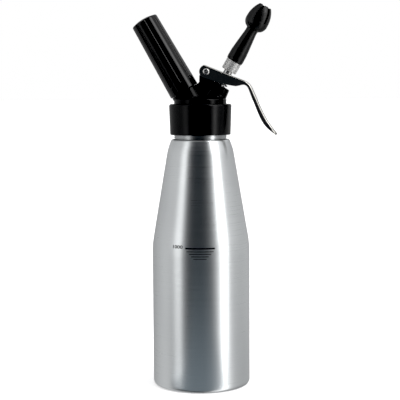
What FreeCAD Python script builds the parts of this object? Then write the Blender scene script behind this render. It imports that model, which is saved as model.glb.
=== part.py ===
import FreeCAD, Part
import os
import math
import Sketcher

# Whipped cream dispenser, one litre.  Millimetres, +Z up.
# Origin: centre of the bottle's base, on the plane it stands on.
# The head is symmetric about the XZ plane: the lever and the nozzle lean to +X,
# the gas charger holder leans to -X.

V = FreeCAD.Vector
doc = FreeCAD.newDocument("dispenser")

# ---------------------------------------------------------------- dimensions
sheet = doc.addObject("Spreadsheet::Sheet", "Dims")
ROWS = [
    # bottle
    ("bottle_radius", 49.2, "outer radius of the cylinder"),
    ("wall", 1.8, "bottle wall"),
    ("base_fillet", 4.2, "rounding between base and side"),
    ("knee_height", 143.8, "height where cylinder and cone lines cross"),
    ("cone_top_radius", 33.0, "radius where the cone meets the shoulder line"),
    ("cone_top_height", 239.5, "height of that point"),
    ("shoulder_height", 250.0, "top of the shoulder"),
    ("neck_radius", 26.35, "plain neck under the thread"),
    ("neck_bore", 23.8, "inner radius of the mouth"),
    ("rim_height", 276.0, "sealing rim of the mouth"),
    ("thread_root", 26.0, "root radius of the bottle thread"),
    ("thread_crest", 27.4, "crest radius of the bottle thread"),
    ("bottle_pitch", 4.0, "pitch of the bottle thread"),
    # head
    ("ceiling_height", 279.0, "underside of the head over the mouth"),
    ("skirt_radius", 29.5, "outside of the threaded skirt"),
    ("skirt_bore", 27.9, "root radius of the head's inner thread"),
    ("skirt_crest", 26.4, "crest radius of the head's inner thread"),
    ("skirt_low", 255.0, "lower edge of the skirt"),
    ("flange_top", 282.0, "top of the skirt's flange"),
    ("disc_radius", 26.3, "disc that stands out of the collar"),
    ("disc_top", 290.6, "top of the disc"),
    ("collar_radius", 31.5, "outside of the grip collar at its top"),
    ("collar_low_radius", 30.45, "outside of the grip collar at its bottom"),
    ("collar_low", 254.0, "lower edge of the grip collar"),
    ("collar_top", 285.0, "top of the grip collar"),
    # charger side, along its own axis
    ("charger_tilt", 29.7, "tilt of the charger axis towards -X, degrees"),
    ("charger_foot", 270.0, "height where the charger axis crosses the bottle axis"),
    ("charger_boss_radius", 14.3, "boss under the charger holder"),
    ("charger_boss_top", 31.7, "top of that boss along the axis"),
    ("stub_radius", 10.0, "root radius of the charger thread"),
    ("stub_crest", 10.85, "crest radius of the charger thread"),
    ("stub_top", 47.8, "end of the threaded stub"),
    ("charger_pitch", 2.5, "pitch of the charger thread"),
    ("holder_rim", 32.1, "lower rim of the charger holder"),
    ("holder_rim_radius", 15.35, "outside of the holder at its rim"),
    ("holder_mid_radius", 14.55, "outside of the holder at mid length"),
    ("holder_end_radius", 13.75, "outside of the holder at its end"),
    ("holder_end", 112.6, "edge of the holder's domed end"),
    ("holder_dome", 2.4, "rise of the domed end"),
    ("holder_bore", 9.75, "bore round the gas charger"),
    ("holder_bottom", 111.1, "end of that bore"),
    ("charger_radius", 9.3, "8 gram gas charger, body"),
    ("charger_neck", 4.3, "gas charger, neck radius"),
    ("charger_nose", 45.5, "end face of the charger's neck"),
    ("charger_length", 65.5, "gas charger, overall"),
    ("flute_radius", 1.75, "radius of the holder's flutes"),
    ("flute_depth", 0.85, "depth of the holder's flutes"),
    ("flute_low", 39.6, "lower end of the flutes"),
    ("flute_turn", 11.3, "turn of the flutes about the holder's axis, degrees"),
    # nozzle side, along its own axis
    ("nozzle_tilt", 30.2, "tilt of the nozzle axis towards +X, degrees"),
    ("nozzle_foot", 268.4, "height where the nozzle axis crosses the bottle axis"),
    ("valve_boss_low_radius", 12.9, "valve boss at its foot"),
    ("valve_boss_radius", 10.3, "valve boss at its top"),
    ("valve_boss_top", 40.7, "top of the valve boss along the axis"),
    ("seat_low", 10.1, "valve seat face along the axis"),
    ("seat_bore", 5.2, "bore above the valve seat"),
    ("bush_bore", 4.05, "bore of the guide bush"),
    ("stem_radius", 4.0, "valve stem in the bush"),
    ("stem_bore", 2.0, "cream passage in the stem"),
    ("recess_radius", 7.35, "recess for the valve spring"),
    ("recess_floor", 32.5, "floor of the recess"),
    ("press_low", 48.7, "lower face of the press collar"),
    ("press_radius", 7.0, "press collar under the lever"),
    ("sleeve_radius", 4.3, "press collar's sleeve through the lever"),
    ("adapter_low", 57.0, "lower face of the nozzle adapter"),
    ("adapter_radius", 7.8, "knurled nozzle adapter"),
    ("tip_low", 68.15, "lower face of the decorating tip"),
    ("tip_top", 130.6, "ends of the tip's petals"),
    ("slot_low", 114.6, "lower end of the petal slots"),
    ("slot_width", 1.7, "width of the petal slots at their lower end"),
    # lever
    ("pivot_x", 6.9, "lever pivot"),
    ("pivot_z", 316.9, "lever pivot"),
    ("pin_radius", 2.4, "lever pin"),
    ("lever_width", 22.0, "outside width over the side plates"),
    ("lever_sheet", 1.5, "sheet thickness of the lever"),
    ("lever_round", 6.9, "rounded end of the side plates"),
    ("bracket_half", 9.1, "half width of the bracket between the plates"),
]
sheet.set("A1", "name")
sheet.set("B1", "value")
for i, (name, value, note) in enumerate(ROWS):
    sheet.set("A%d" % (i + 2), name)
    sheet.set("B%d" % (i + 2), repr(float(value)))
    sheet.setAlias("B%d" % (i + 2), name)
    sheet.set("C%d" % (i + 2), note)
doc.recompute()


class Q:
    """A length together with the sheet expression that gives it."""

    def __init__(self, v, e):
        self.v = float(v)
        self.e = e

    def __add__(self, o):
        o = as_q(o)
        return Q(self.v + o.v, "(%s + %s)" % (self.e, o.e))

    def __radd__(self, o):
        return as_q(o) + self

    def __sub__(self, o):
        o = as_q(o)
        return Q(self.v - o.v, "(%s - %s)" % (self.e, o.e))

    def __rsub__(self, o):
        return as_q(o) - self

    def __mul__(self, k):
        k = as_q(k)
        return Q(self.v * k.v, "(%s * %s)" % (self.e, k.e))

    def __neg__(self):
        return Q(-self.v, "(0 - %s)" % self.e)


def as_q(x):
    if isinstance(x, Q):
        return x
    return Q(x, "%.6f" % x if x >= 0 else "(0 - %.6f)" % -x)


class Sizes:
    pass


D = Sizes()
for name, value, note in ROWS:
    setattr(D, name, Q(value, "Dims." + name))


def fv(x):
    return x.v if isinstance(x, Q) else float(x)


# ---------------------------------------------------------------- helpers
def new_body(name, label=None):
    b = doc.addObject("PartDesign::Body", name)
    b.Label = label or name
    return b


def plane_of(body, role):
    for f in body.Origin.OriginFeatures:
        if f.Role == role:
            return f
    raise ValueError(role)


def bind(obj, prop, q):
    q = as_q(q)
    if "Dims." in q.e:
        obj.setExpression(prop, q.e)


def new_sketch(body, name, role="XZ_Plane"):
    s = body.newObject("Sketcher::SketchObject", name)
    s.AttachmentSupport = [(plane_of(body, role), "")]
    s.MapMode = "FlatFace"
    return s


def tangent_points(p0, p1, p2, r):
    """Where an arc of radius r touches the two sides of the corner p1, and its middle."""
    ax, ay = p0[0] - p1[0], p0[1] - p1[1]
    bx, by = p2[0] - p1[0], p2[1] - p1[1]
    la, lb = math.hypot(ax, ay), math.hypot(bx, by)
    ax, ay, bx, by = ax / la, ay / la, bx / lb, by / lb
    ang = math.acos(max(-1.0, min(1.0, ax * bx + ay * by)))
    d = r / math.tan(ang / 2)
    if d > la + 1e-6 or d > lb + 1e-6:
        raise ValueError("corner radius %.2f too large at %s (%.2f of %.2f, %.2f)" % (r, p1, d, la, lb))
    mx, my = ax + bx, ay + by
    lm = math.hypot(mx, my)
    c = (p1[0] + mx / lm * r / math.sin(ang / 2), p1[1] + my / lm * r / math.sin(ang / 2))
    k = r / math.hypot(p1[0] - c[0], p1[1] - c[1])
    mid = (c[0] + (p1[0] - c[0]) * k, c[1] + (p1[1] - c[1]) * k)
    return (ax * d, ay * d), (bx * d, by * d), mid


def profile(sk, verts):
    """Closed outline of straight sides.  A vertex is (x, y), (x, y, corner radius), or
    (x, y, "arc", mx, my): the side that arrives there is an arc through (mx, my)."""
    n = len(verts)
    xy = [(fv(v[0]), fv(v[1])) for v in verts]
    nodes = []
    for i, v in enumerate(verts):
        x, y = as_q(v[0]), as_q(v[1])
        if len(v) == 3 and fv(v[2]) > 0:
            a, b, mid = tangent_points(xy[i - 1], xy[i], xy[(i + 1) % n], fv(v[2]))
            nodes.append((x + a[0], y + a[1], None))
            nodes.append((x + b[0], y + b[1], ("r", mid, as_q(v[2]))))
        elif len(v) == 5:
            nodes.append((x, y, ("m", (float(v[3]), float(v[4])), None)))
        else:
            nodes.append((x, y, None))
    m = len(nodes)
    geo = []
    for i in range(m):
        a, b = nodes[i], nodes[(i + 1) % m]
        pa, pb = V(a[0].v, a[1].v, 0), V(b[0].v, b[1].v, 0)
        if b[2] is None:
            geo.append(Part.LineSegment(pa, pb))
        else:
            pm = V(b[2][1][0], b[2][1][1], 0)
            turn = (pm - pa).cross(pb - pm).z
            # arcs of a sketch run counterclockwise
            geo.append(Part.Arc(pa, pm, pb) if turn > 0 else Part.Arc(pb, pm, pa))
    ids = [sk.addGeometry(g, False) for g in geo]
    ends = []
    for i, g in enumerate(geo):
        start = V(nodes[i][0].v, nodes[i][1].v, 0)
        c = sk.Geometry[ids[i]]
        first = c.StartPoint.distanceToPoint(start) < c.EndPoint.distanceToPoint(start)
        ends.append((1, 2) if first else (2, 1))
    for i in range(m):
        j = (i + 1) % m
        sk.addConstraint(Sketcher.Constraint("Coincident", ids[i], ends[i][1], ids[j], ends[j][0]))
    for i in range(m):
        for axis, q in (("DistanceX", nodes[i][0]), ("DistanceY", nodes[i][1])):
            if abs(q.v) < 1e-9 and "Dims." not in q.e:
                # a vertex on an axis is held there
                c = sk.addConstraint(Sketcher.Constraint("PointOnObject", ids[i], ends[i][0], -2 if axis == "DistanceX" else -1))
                continue
            c = sk.addConstraint(Sketcher.Constraint(axis, -1, 1, ids[i], ends[i][0], q.v))
            if "Dims." in q.e:
                sk.setExpression("Constraints[%d]" % c, q.e)
    for i in range(m):
        b = nodes[(i + 1) % m]
        if b[2] is not None:
            g = sk.Geometry[ids[i]]
            c = sk.addConstraint(Sketcher.Constraint("Radius", ids[i], g.Radius))
            if b[2][0] == "r" and "Dims." in b[2][2].e:
                sk.setExpression("Constraints[%d]" % c, b[2][2].e)
    return ids


def revolve(body, name, verts):
    """A turned feature: the outline lies in the body's XZ plane and turns about its Z."""
    sk = new_sketch(body, name + "_profile")
    profile(sk, verts)
    doc.recompute()
    f = body.newObject("PartDesign::Revolution", name)
    f.Profile = sk
    f.ReferenceAxis = (plane_of(body, "Z_Axis"), [""])
    f.Angle = 360.0
    doc.recompute()
    return f


def groove(body, name, verts):
    sk = new_sketch(body, name + "_profile")
    profile(sk, verts)
    doc.recompute()
    before = body.Shape.Volume
    f = body.newObject("PartDesign::Groove", name)
    f.Profile = sk
    f.ReferenceAxis = (plane_of(body, "Z_Axis"), [""])
    f.Angle = 360.0
    doc.recompute()
    if body.Shape.Volume > before - 1e-6:
        raise RuntimeError(name + " cut nothing")
    return f


def helix(body, name, verts, pitch, turns, kind="PartDesign::AdditiveHelix"):
    """A thread ridge, a thread groove or a coil along the body's Z."""
    sk = new_sketch(body, name + "_profile")
    profile(sk, verts)
    doc.recompute()
    before = body.Shape.Volume if body.Tip else 0.0
    f = body.newObject(kind, name)
    f.Profile = sk
    f.ReferenceAxis = (plane_of(body, "Z_Axis"), [""])
    f.Mode = 0
    f.Pitch = fv(pitch)
    f.Height = fv(pitch) * turns
    bind(f, "Pitch", pitch)
    bind(f, "Height", as_q(pitch) * turns)
    f.Turns = turns
    f.Angle = 0
    f.LeftHanded = False
    f.Reversed = False
    doc.recompute()
    if abs(body.Shape.Volume - before) < 1e-3:
        raise RuntimeError(name + " changed nothing")
    return f


def coil(body, name, mean_radius, wire_radius, low, pitch, turns):
    """A round-wire spring along the body's Z."""
    sk = new_sketch(body, name + "_wire")
    c = sk.addGeometry(Part.Circle(V(mean_radius, low, 0), V(0, 0, 1), wire_radius), False)
    sk.addConstraint(Sketcher.Constraint("Radius", c, wire_radius))
    sk.addConstraint(Sketcher.Constraint("DistanceX", -1, 1, c, 3, mean_radius))
    sk.addConstraint(Sketcher.Constraint("DistanceY", -1, 1, c, 3, low))
    doc.recompute()
    f = body.newObject("PartDesign::AdditiveHelix", name)
    f.Profile = sk
    f.ReferenceAxis = (plane_of(body, "Z_Axis"), [""])
    f.Mode = 0
    f.Pitch = pitch
    f.Height = pitch * turns
    f.Turns = turns
    doc.recompute()
    return f


def lean(obj, side):
    """Puts an object that is built along its own Z on the nozzle or the charger axis."""
    if side == "nozzle":
        rot = FreeCAD.Rotation(V(0, 1, 0), D.nozzle_tilt.v)
        obj.Placement = FreeCAD.Placement(V(0, 0, D.nozzle_foot.v), rot)
        obj.setExpression("Placement.Base.z", "Dims.nozzle_foot")
    else:
        rot = FreeCAD.Rotation(V(0, 1, 0), -D.charger_tilt.v)
        obj.Placement = FreeCAD.Placement(V(0, 0, D.charger_foot.v), rot)
        obj.setExpression("Placement.Base.z", "Dims.charger_foot")


def on_axis(side, along, across):
    """The (x, z) of a point given along and across a leaning axis."""
    if side == "nozzle":
        a = math.radians(D.nozzle_tilt.v)
        return (along * math.sin(a) + across * math.cos(a), D.nozzle_foot.v + along * math.cos(a) - across * math.sin(a))
    a = math.radians(D.charger_tilt.v)
    return (-along * math.sin(a) + across * math.cos(a), D.charger_foot.v + along * math.cos(a) + across * math.sin(a))


out = {}   # node name -> object whose Shape is written

# ---------------------------------------------------------------- bottle
# Drawn aluminium bottle: straight side, long cone, round shoulder, rolled thread on the neck.
b = new_body("bottle")
revolve(b, "bottle_shell", [
    (0, 3.2), (31.0, 2.2), (35.0, 0),
    (D.bottle_radius, 0, D.base_fillet),
    (D.bottle_radius, D.knee_height, 100.0),
    (D.cone_top_radius, D.cone_top_height, 50.0),
    (D.cone_top_radius - 3.82, D.shoulder_height, 3.5),
    (D.neck_radius - 0.55, D.shoulder_height),
    (D.neck_radius - 0.55, D.shoulder_height + 0.75),
    (D.neck_radius, D.shoulder_height + 0.95),
    (D.neck_radius, D.shoulder_height + 5.6),
    (D.thread_root, D.shoulder_height + 6.4),
    (D.thread_root, D.rim_height, 0.8),
    (D.neck_bore, D.rim_height, 0.8),
    (D.neck_bore, 246.6, 3.0),
    (30.55, 241.6, 6.0),
    (D.bottle_radius - D.wall, 142.9, 98.0),
    (D.bottle_radius - D.wall, 2.2, 4.0),
    (35.6, 2.2), (31.4, 4.4), (0, 5.4),
])
helix(b, "neck_thread", [
    (D.thread_root - 0.4, 258.0), (D.thread_root + 0.02, 258.05), (D.thread_crest, 258.55),
    (D.thread_crest, 259.55), (D.thread_root + 0.02, 260.05), (D.thread_root - 0.4, 260.1),
], D.bottle_pitch, 3.25)
out["bottle"] = b

# ---------------------------------------------------------------- sealing ring in the head
b = new_body("head_gasket")
revolve(b, "gasket_ring", [
    (22.75, D.rim_height + 0.02), (26.2, D.rim_height + 0.02, 0.4),
    (26.2, D.ceiling_height - 0.02, 0.4), (22.75, D.ceiling_height - 0.02),
])
out["head_gasket"] = b

# ---------------------------------------------------------------- head
core = new_body("head_core")
revolve(core, "head_shell", [
    (0, D.ceiling_height), (20.2, D.ceiling_height), (20.2, 274.5), (22.4, 274.5),
    (22.4, D.ceiling_height), (D.skirt_bore, D.ceiling_height),
    (D.skirt_bore, D.skirt_low + 1.0), (D.skirt_bore + 0.7, D.skirt_low), (D.skirt_radius, D.skirt_low),
    (D.skirt_radius, D.flange_top), (D.disc_radius, D.flange_top),
    (D.disc_radius, D.disc_top, 2.0), (0, D.disc_top),
])
helix(core, "skirt_thread", [
    (D.skirt_bore + 0.4, 256.05), (D.skirt_crest + 1.48, 256.1), (D.skirt_crest, 256.6),
    (D.skirt_crest, 257.5), (D.skirt_crest + 1.48, 258.0), (D.skirt_bore + 0.4, 258.05),
], D.bottle_pitch, 3.25)

charger_boss = new_body("charger_boss")
revolve(charger_boss, "charger_boss_turned", [
    (0, 18.9), (D.charger_boss_radius, 18.9), (D.charger_boss_radius, D.charger_boss_top, 0.5),
    (D.stub_radius, D.charger_boss_top), (D.stub_radius, D.stub_top - 0.9),
    (D.stub_radius - 0.9, D.stub_top), (0, D.stub_top),
])
helix(charger_boss, "stub_thread", [
    (D.stub_radius - 0.3, 33.6), (D.stub_radius + 0.02, 33.63), (D.stub_crest, 33.95),
    (D.stub_crest, 34.55), (D.stub_radius + 0.02, 34.87), (D.stub_radius - 0.3, 34.9),
], D.charger_pitch, 4.5)
lean(charger_boss, "charger")

valve_boss = new_body("valve_boss")
revolve(valve_boss, "valve_boss_turned", [
    (0, 20.6), (D.valve_boss_low_radius, 20.6), (D.valve_boss_radius, D.valve_boss_top, 1.2),
    (0, D.valve_boss_top),
])
lean(valve_boss, "nozzle")

seat_boss = new_body("seat_boss")
revolve(seat_boss, "seat_boss_turned", [
    (0, D.seat_low), (7.6, D.seat_low, 0.8), (7.6, 21.0), (0, 21.0),
])
lean(seat_boss, "nozzle")

# bracket that carries the lever pin, between the two bosses
bracket = new_body("bracket")
sk = new_sketch(bracket, "bracket_outline")
profile(sk, [
    (-6.2, 288.0), (-3.2, 303.9), (-2.1, 305.2), (-1.5, 305.4), (-0.2, 306.9), (0.0, 313.0),
    (D.pivot_x - 3.15, D.pivot_z + 1.65),
    (D.pivot_x + 3.2, D.pivot_z + 1.55, "arc", 6.9, 316.9 + 3.56),
    (11.4, 311.0), (12.6, 305.0), (13.5, 288.0),
])
doc.recompute()
f = bracket.newObject("PartDesign::Pad", "bracket_pad")
f.Profile = sk
f.Length = 2 * D.bracket_half.v
f.setExpression("Length", "2 * Dims.bracket_half")
f.Midplane = True
doc.recompute()

solid = doc.addObject("Part::MultiFuse", "head_solid")
solid.Shapes = [core, charger_boss, valve_boss, seat_boss, bracket]
solid.Refine = True
doc.recompute()

# hollows of the nozzle side: seat, bush bore, spring recess
valve_hollow = new_body("valve_hollow")
revolve(valve_hollow, "valve_hollow_turned", [
    (0, 4.0), (8.2, 4.0), (8.2, D.seat_low), (6.4, D.seat_low), (D.seat_bore, D.seat_low + 1.2),
    (D.seat_bore, 17.5), (D.seat_bore + 0.05, 17.5), (D.seat_bore + 0.05, D.recess_floor),
    (D.recess_radius, D.recess_floor), (D.recess_radius, D.valve_boss_top + 8.0),
    (0, D.valve_boss_top + 8.0),
])
lean(valve_hollow, "nozzle")

# hollows of the charger side: check valve chamber, carrier bore, socket
charger_hollow = new_body("charger_hollow")
revolve(charger_hollow, "charger_hollow_turned", [
    (0, 29.0), (3.0, 29.0), (3.0, 37.5), (5.2, 37.5), (5.2, D.stub_top - 0.8),
    (6.2, D.stub_top + 0.2), (6.2, D.stub_top + 6.0), (0, D.stub_top + 6.0),
])
lean(charger_hollow, "charger")

gas_way = doc.addObject("Part::Cylinder", "gas_way")
gas_way.Radius = 1.2
gas_way.Height = 17.5
gas_way.Placement = FreeCAD.Placement(V(-13.6, 0, 278.5), FreeCAD.Rotation())

pin_way = doc.addObject("Part::Cylinder", "pin_way")
pin_way.Radius = D.pin_radius.v + 0.02
pin_way.setExpression("Radius", "Dims.pin_radius + 0.02")
pin_way.Height = 40
pin_way.Placement = FreeCAD.Placement(V(D.pivot_x.v, 20, D.pivot_z.v), FreeCAD.Rotation(V(1, 0, 0), 90))
pin_way.setExpression("Placement.Base.x", "Dims.pivot_x")
pin_way.setExpression("Placement.Base.z", "Dims.pivot_z")

# flats on the valve boss, so that the lever's side plates pass it
flats = []
for sign, name in ((1, "flat_left"), (-1, "flat_right")):
    box = doc.addObject("Part::Box", name)
    box.Length, box.Width, box.Height = 30, 8, 20
    a = math.radians(D.nozzle_tilt.v)
    x, z = on_axis("nozzle", 33.0, -15.0)
    y = D.bracket_half.v if sign > 0 else -D.bracket_half.v - 8
    box.Placement = FreeCAD.Placement(V(x, y, z), FreeCAD.Rotation(V(0, 1, 0), D.nozzle_tilt.v))
    flats.append(box)

hollow = doc.addObject("Part::MultiFuse", "head_hollow")
hollow.Shapes = [valve_hollow, charger_hollow, gas_way, pin_way] + flats
doc.recompute()
head = doc.addObject("Part::Cut", "head_body")
head.Base = solid
head.Tool = hollow
doc.recompute()
out["head_body"] = head

# ---------------------------------------------------------------- grip collar
b = new_body("grip_collar")
revolve(b, "collar_ring", [
    (D.skirt_radius + 0.05, D.collar_low), (D.collar_low_radius, D.collar_low, 0.8),
    (D.collar_radius, D.collar_top, 2.1), (D.disc_radius + 0.1, D.collar_top, 0.5),
    (D.disc_radius + 0.1, D.flange_top + 0.05), (D.skirt_radius + 0.05, D.flange_top + 0.05),
])
out["grip_collar"] = b

# ---------------------------------------------------------------- charger holder
# screw cap that presses the gas charger on to the pin; eight flutes for the fingers
b = new_body("holder_turned")
revolve(b, "holder_shell", [
    (11.25, D.holder_rim), (D.holder_rim_radius, D.holder_rim, 0.6),
    (D.holder_mid_radius, 70.0), (D.holder_end_radius, D.holder_end, 1.5),
    (7.2, D.holder_end + D.holder_dome - 0.45, 25.0), (0, D.holder_end + D.holder_dome),
    (0, D.holder_bottom), (D.holder_bore, D.holder_bottom, 3.0),
    (D.holder_bore, 50.5), (11.25, 49.4),
])
helix(b, "holder_thread", [
    (11.55, 34.85), (11.26, 34.88), (10.35, 35.2), (10.35, 35.8), (11.26, 36.12), (11.55, 36.15),
], D.charger_pitch, 4.5)
lean(b, "charger")
doc.recompute()
cutters = []
slope = math.atan2(D.holder_rim_radius.v - D.holder_end_radius.v, D.holder_end.v - D.holder_rim.v)
for k in range(8):
    phi = math.radians(45.0 * k + 90.0 + D.flute_turn.v)
    rr = D.holder_mid_radius.v + D.flute_radius.v - D.flute_depth.v
    mid = 70.0
    low = V(rr + (mid - D.flute_low.v) * math.tan(slope), 0, D.flute_low.v + D.flute_radius.v)
    axis = V(-math.sin(slope), 0, math.cos(slope))
    turn = FreeCAD.Rotation(V(0, 0, 1), math.degrees(phi))
    place = FreeCAD.Placement(V(0, 0, D.charger_foot.v), FreeCAD.Rotation(V(0, 1, 0), -D.charger_tilt.v))
    cyl = doc.addObject("Part::Cylinder", "flute_%d" % (k + 1))
    cyl.Radius = D.flute_radius.v
    cyl.setExpression("Radius", "Dims.flute_radius")
    cyl.Height = 85
    cyl.Placement = place.multiply(FreeCAD.Placement(turn.multVec(low), turn.multiply(FreeCAD.Rotation(V(0, 0, 1), axis))))
    ball = doc.addObject("Part::Sphere", "flute_end_%d" % (k + 1))
    ball.Radius = D.flute_radius.v
    ball.setExpression("Radius", "Dims.flute_radius")
    ball.Placement = cyl.Placement
    cutters += [cyl, ball]
flutes = doc.addObject("Part::MultiFuse", "flutes")
flutes.Shapes = cutters
holder = doc.addObject("Part::Cut", "charger_holder")
holder.Base = b
holder.Tool = flutes
doc.recompute()
out["charger_holder"] = holder

# ---------------------------------------------------------------- gas charger and its seat
n0 = D.charger_nose
top = D.charger_nose + D.charger_length
b = new_body("gas_charger")
revolve(b, "charger_shell", [
    (1.6, n0), (D.charger_neck, n0, 0.6), (D.charger_neck, n0 + 8.6, 1.5),
    (D.charger_radius, n0 + 15.0, 4.0), (D.charger_radius, top, 7.0), (0, top),
    (0, top - 1.6), (D.charger_radius - 1.5, top - 1.6, 5.5), (D.charger_radius - 1.5, n0 + 15.7, 3.0),
    (D.charger_neck - 1.4, n0 + 9.6, 1.0), (D.charger_neck - 1.4, n0 + 1.8), (1.6, n0 + 1.8),
])
lean(b, "charger")
out["gas_charger"] = b

b = new_body("pin_carrier")
revolve(b, "carrier_turned", [
    (0.9, 38.5), (1.9, 37.52), (5.15, 37.52), (5.15, 43.4), (1.07, 43.4), (1.07, 40.0), (0.9, 40.0),
])
lean(b, "charger")
out["pin_carrier"] = b

b = new_body("piercing_pin")
revolve(b, "needle", [
    (0.45, 40.05), (1.0, 40.05), (1.0, 47.4), (0.6, 48.6), (0.45, 48.6),
])
lean(b, "charger")
out["piercing_pin"] = b

b = new_body("charger_seal")
revolve(b, "charger_seal_ring", [
    (1.3, 43.45), (5.0, 43.45), (5.0, D.charger_nose - 0.05), (1.3, D.charger_nose - 0.05),
])
lean(b, "charger")
out["charger_seal"] = b

# ball check valve under the carrier, and its spring
b = new_body("check_ball")
sk = new_sketch(b, "ball_profile")
cz, cr = 36.22, 2.2
arc = sk.addGeometry(Part.Arc(V(0, cz - cr, 0), V(cr, cz, 0), V(0, cz + cr, 0)), False)
lin = sk.addGeometry(Part.LineSegment(V(0, cz + cr, 0), V(0, cz - cr, 0)), False)
doc.recompute()
f = b.newObject("PartDesign::Revolution", "ball_turned")
f.Profile = sk
f.ReferenceAxis = (plane_of(b, "Z_Axis"), [""])
f.Angle = 360.0
lean(b, "charger")
doc.recompute()
out["check_ball"] = b

b = new_body("check_spring")
coil(b, "check_coil", 1.9, 0.2, 29.25, 1.01, 5)
lean(b, "charger")
out["check_spring"] = b

# ---------------------------------------------------------------- dispensing valve
b = new_body("valve_bush")
revolve(b, "bush_turned", [
    (D.bush_bore, 17.6), (5.2, 17.6), (5.2, D.recess_floor + 0.03), (7.2, D.recess_floor + 0.03),
    (7.2, 34.1), (5.2, 34.1), (5.2, 37.5, 0.4), (D.bush_bore, 37.5),
])
lean(b, "nozzle")
out["valve_bush"] = b

b = new_body("valve_stem")
revolve(b, "stem_turned", [
    (0, 3.4, ), (2.5, 3.4, 0.4), (2.5, 10.5), (3.4, 10.5), (3.4, 18.3), (D.stem_radius, 18.3),
    (D.stem_radius, 22.5), (3.1, 22.5), (3.1, 23.9), (D.stem_radius, 23.9),
    (D.stem_radius, 29.5), (3.1, 29.5), (3.1, 30.9), (D.stem_radius, 30.9),
    (D.stem_radius, D.press_low - 0.02), (3.4, D.press_low - 0.02), (3.4, 64.5), (D.stem_bore, 64.5),
    (D.stem_bore, 13.0), (0, 12.2),
])
sk = new_sketch(b, "cross_hole_outline", "XZ_Plane")
c = sk.addGeometry(Part.Circle(V(0, 14.6, 0), V(0, 0, 1), 1.3), False)
sk.addConstraint(Sketcher.Constraint("Radius", c, 1.3))
sk.addConstraint(Sketcher.Constraint("PointOnObject", c, 3, -2))
sk.addConstraint(Sketcher.Constraint("DistanceY", -1, 1, c, 3, 14.6))
doc.recompute()
before = b.Shape.Volume
f = b.newObject("PartDesign::Pocket", "cross_hole")
f.Profile = sk
f.Type = 1
f.Midplane = True
doc.recompute()
pat = b.newObject("PartDesign::PolarPattern", "cross_holes")
pat.Originals = [f]
pat.Axis = (plane_of(b, "Z_Axis"), [""])
pat.Angle = 180.0
pat.Occurrences = 3
b.Tip = pat
doc.recompute()
if b.Shape.Volume > before - 1:
    raise RuntimeError("cross holes cut nothing")
lean(b, "nozzle")
out["valve_stem"] = b

rings = []
for k, z in enumerate((23.2, 30.2)):
    t = doc.addObject("Part::Torus", "stem_o_ring_%d" % (k + 1))
    t.Radius1, t.Radius2 = 3.55, 0.44
    a = math.radians(D.nozzle_tilt.v)
    x, zz = on_axis("nozzle", z, 0)
    t.Placement = FreeCAD.Placement(V(x, 0, zz), FreeCAD.Rotation(V(0, 1, 0), D.nozzle_tilt.v))
    rings.append(t)
doc.recompute()
r = doc.addObject("Part::Compound", "stem_o_rings")
r.Links = rings
out["stem_o_rings"] = r

b = new_body("valve_seal")
revolve(b, "valve_seal_turned", [
    (2.55, 6.6), (6.8, 6.6, 0.3), (6.8, 9.45), (5.85, 10.4), (2.55, 10.4),
])
lean(b, "nozzle")
out["valve_seal"] = b

b = new_body("valve_nut")
sk = new_sketch(b, "nut_outline", "XY_Plane")
hexp = [(5.2 * math.cos(math.radians(60 * k)), 5.2 * math.sin(math.radians(60 * k))) for k in range(6)]
profile(sk, hexp)
c = sk.addGeometry(Part.Circle(V(0, 0, 0), V(0, 0, 1), 2.55), False)
sk.addConstraint(Sketcher.Constraint("Radius", c, 2.55))
sk.addConstraint(Sketcher.Constraint("Coincident", c, 3, -1, 1))
doc.recompute()
f = b.newObject("PartDesign::Pad", "nut_pad")
f.Profile = sk
f.Length = 3.0
doc.recompute()
g = b.newObject("PartDesign::Chamfer", "nut_chamfer")
names = []
for i, e in enumerate(b.Shape.Edges):
    if abs(e.BoundBox.ZMin) < 1e-4 and abs(e.BoundBox.ZMax) < 1e-4 and abs(e.Length - 5.2) < 0.05:
        names.append("Edge%d" % (i + 1))
g.Base = (f, names)
g.Size = 0.5
b.Tip = g
x, z = on_axis("nozzle", 3.55, 0)
b.Placement = FreeCAD.Placement(V(x, 0, z), FreeCAD.Rotation(V(0, 1, 0), D.nozzle_tilt.v))
doc.recompute()
out["valve_nut"] = b

b = new_body("valve_spring")
coil(b, "valve_coil", 6.1, 0.6, 34.75, 2.65, 5)
lean(b, "nozzle")
out["valve_spring"] = b

b = new_body("press_collar")
revolve(b, "press_turned", [
    (3.45, D.press_low), (D.press_radius, D.press_low, 0.4), (D.press_radius, 51.05),
    (D.sleeve_radius, 51.45), (D.sleeve_radius, D.adapter_low - 0.02), (3.45, D.adapter_low - 0.02),
])
lean(b, "nozzle")
out["press_collar"] = b

b = new_body("nozzle_adapter")
revolve(b, "adapter_turned", [
    (3.45, D.adapter_low), (D.adapter_radius - 0.7, D.adapter_low), (D.adapter_radius, D.adapter_low + 0.7),
    (D.adapter_radius, D.tip_low - 0.55), (D.adapter_radius - 0.5, D.tip_low - 0.05), (5.3, D.tip_low - 0.05),
    (5.3, 76.4), (4.7, 77.0), (2.3, 77.0), (2.3, 65.0), (3.45, 65.0),
])
sk = new_sketch(b, "knurl_outline", "XY_Plane")
rad = D.adapter_radius.v
profile(sk, [(rad + 0.3, 0.42), (rad - 0.22, 0.0), (rad + 0.3, -0.42)])
sk.AttachmentOffset = FreeCAD.Placement(V(0, 0, D.adapter_low.v + 0.9), FreeCAD.Rotation())
doc.recompute()
f = b.newObject("PartDesign::Pocket", "knurl_cut")
f.Profile = sk
f.Reversed = True
f.Length = D.tip_low.v - 0.75 - (D.adapter_low.v + 0.9)
doc.recompute()
before = b.Shape.Volume
pat = b.newObject("PartDesign::PolarPattern", "knurl")
pat.Originals = [f]
pat.Axis = (plane_of(b, "Z_Axis"), [""])
pat.Angle = 360.0
pat.Occurrences = 60
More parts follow.
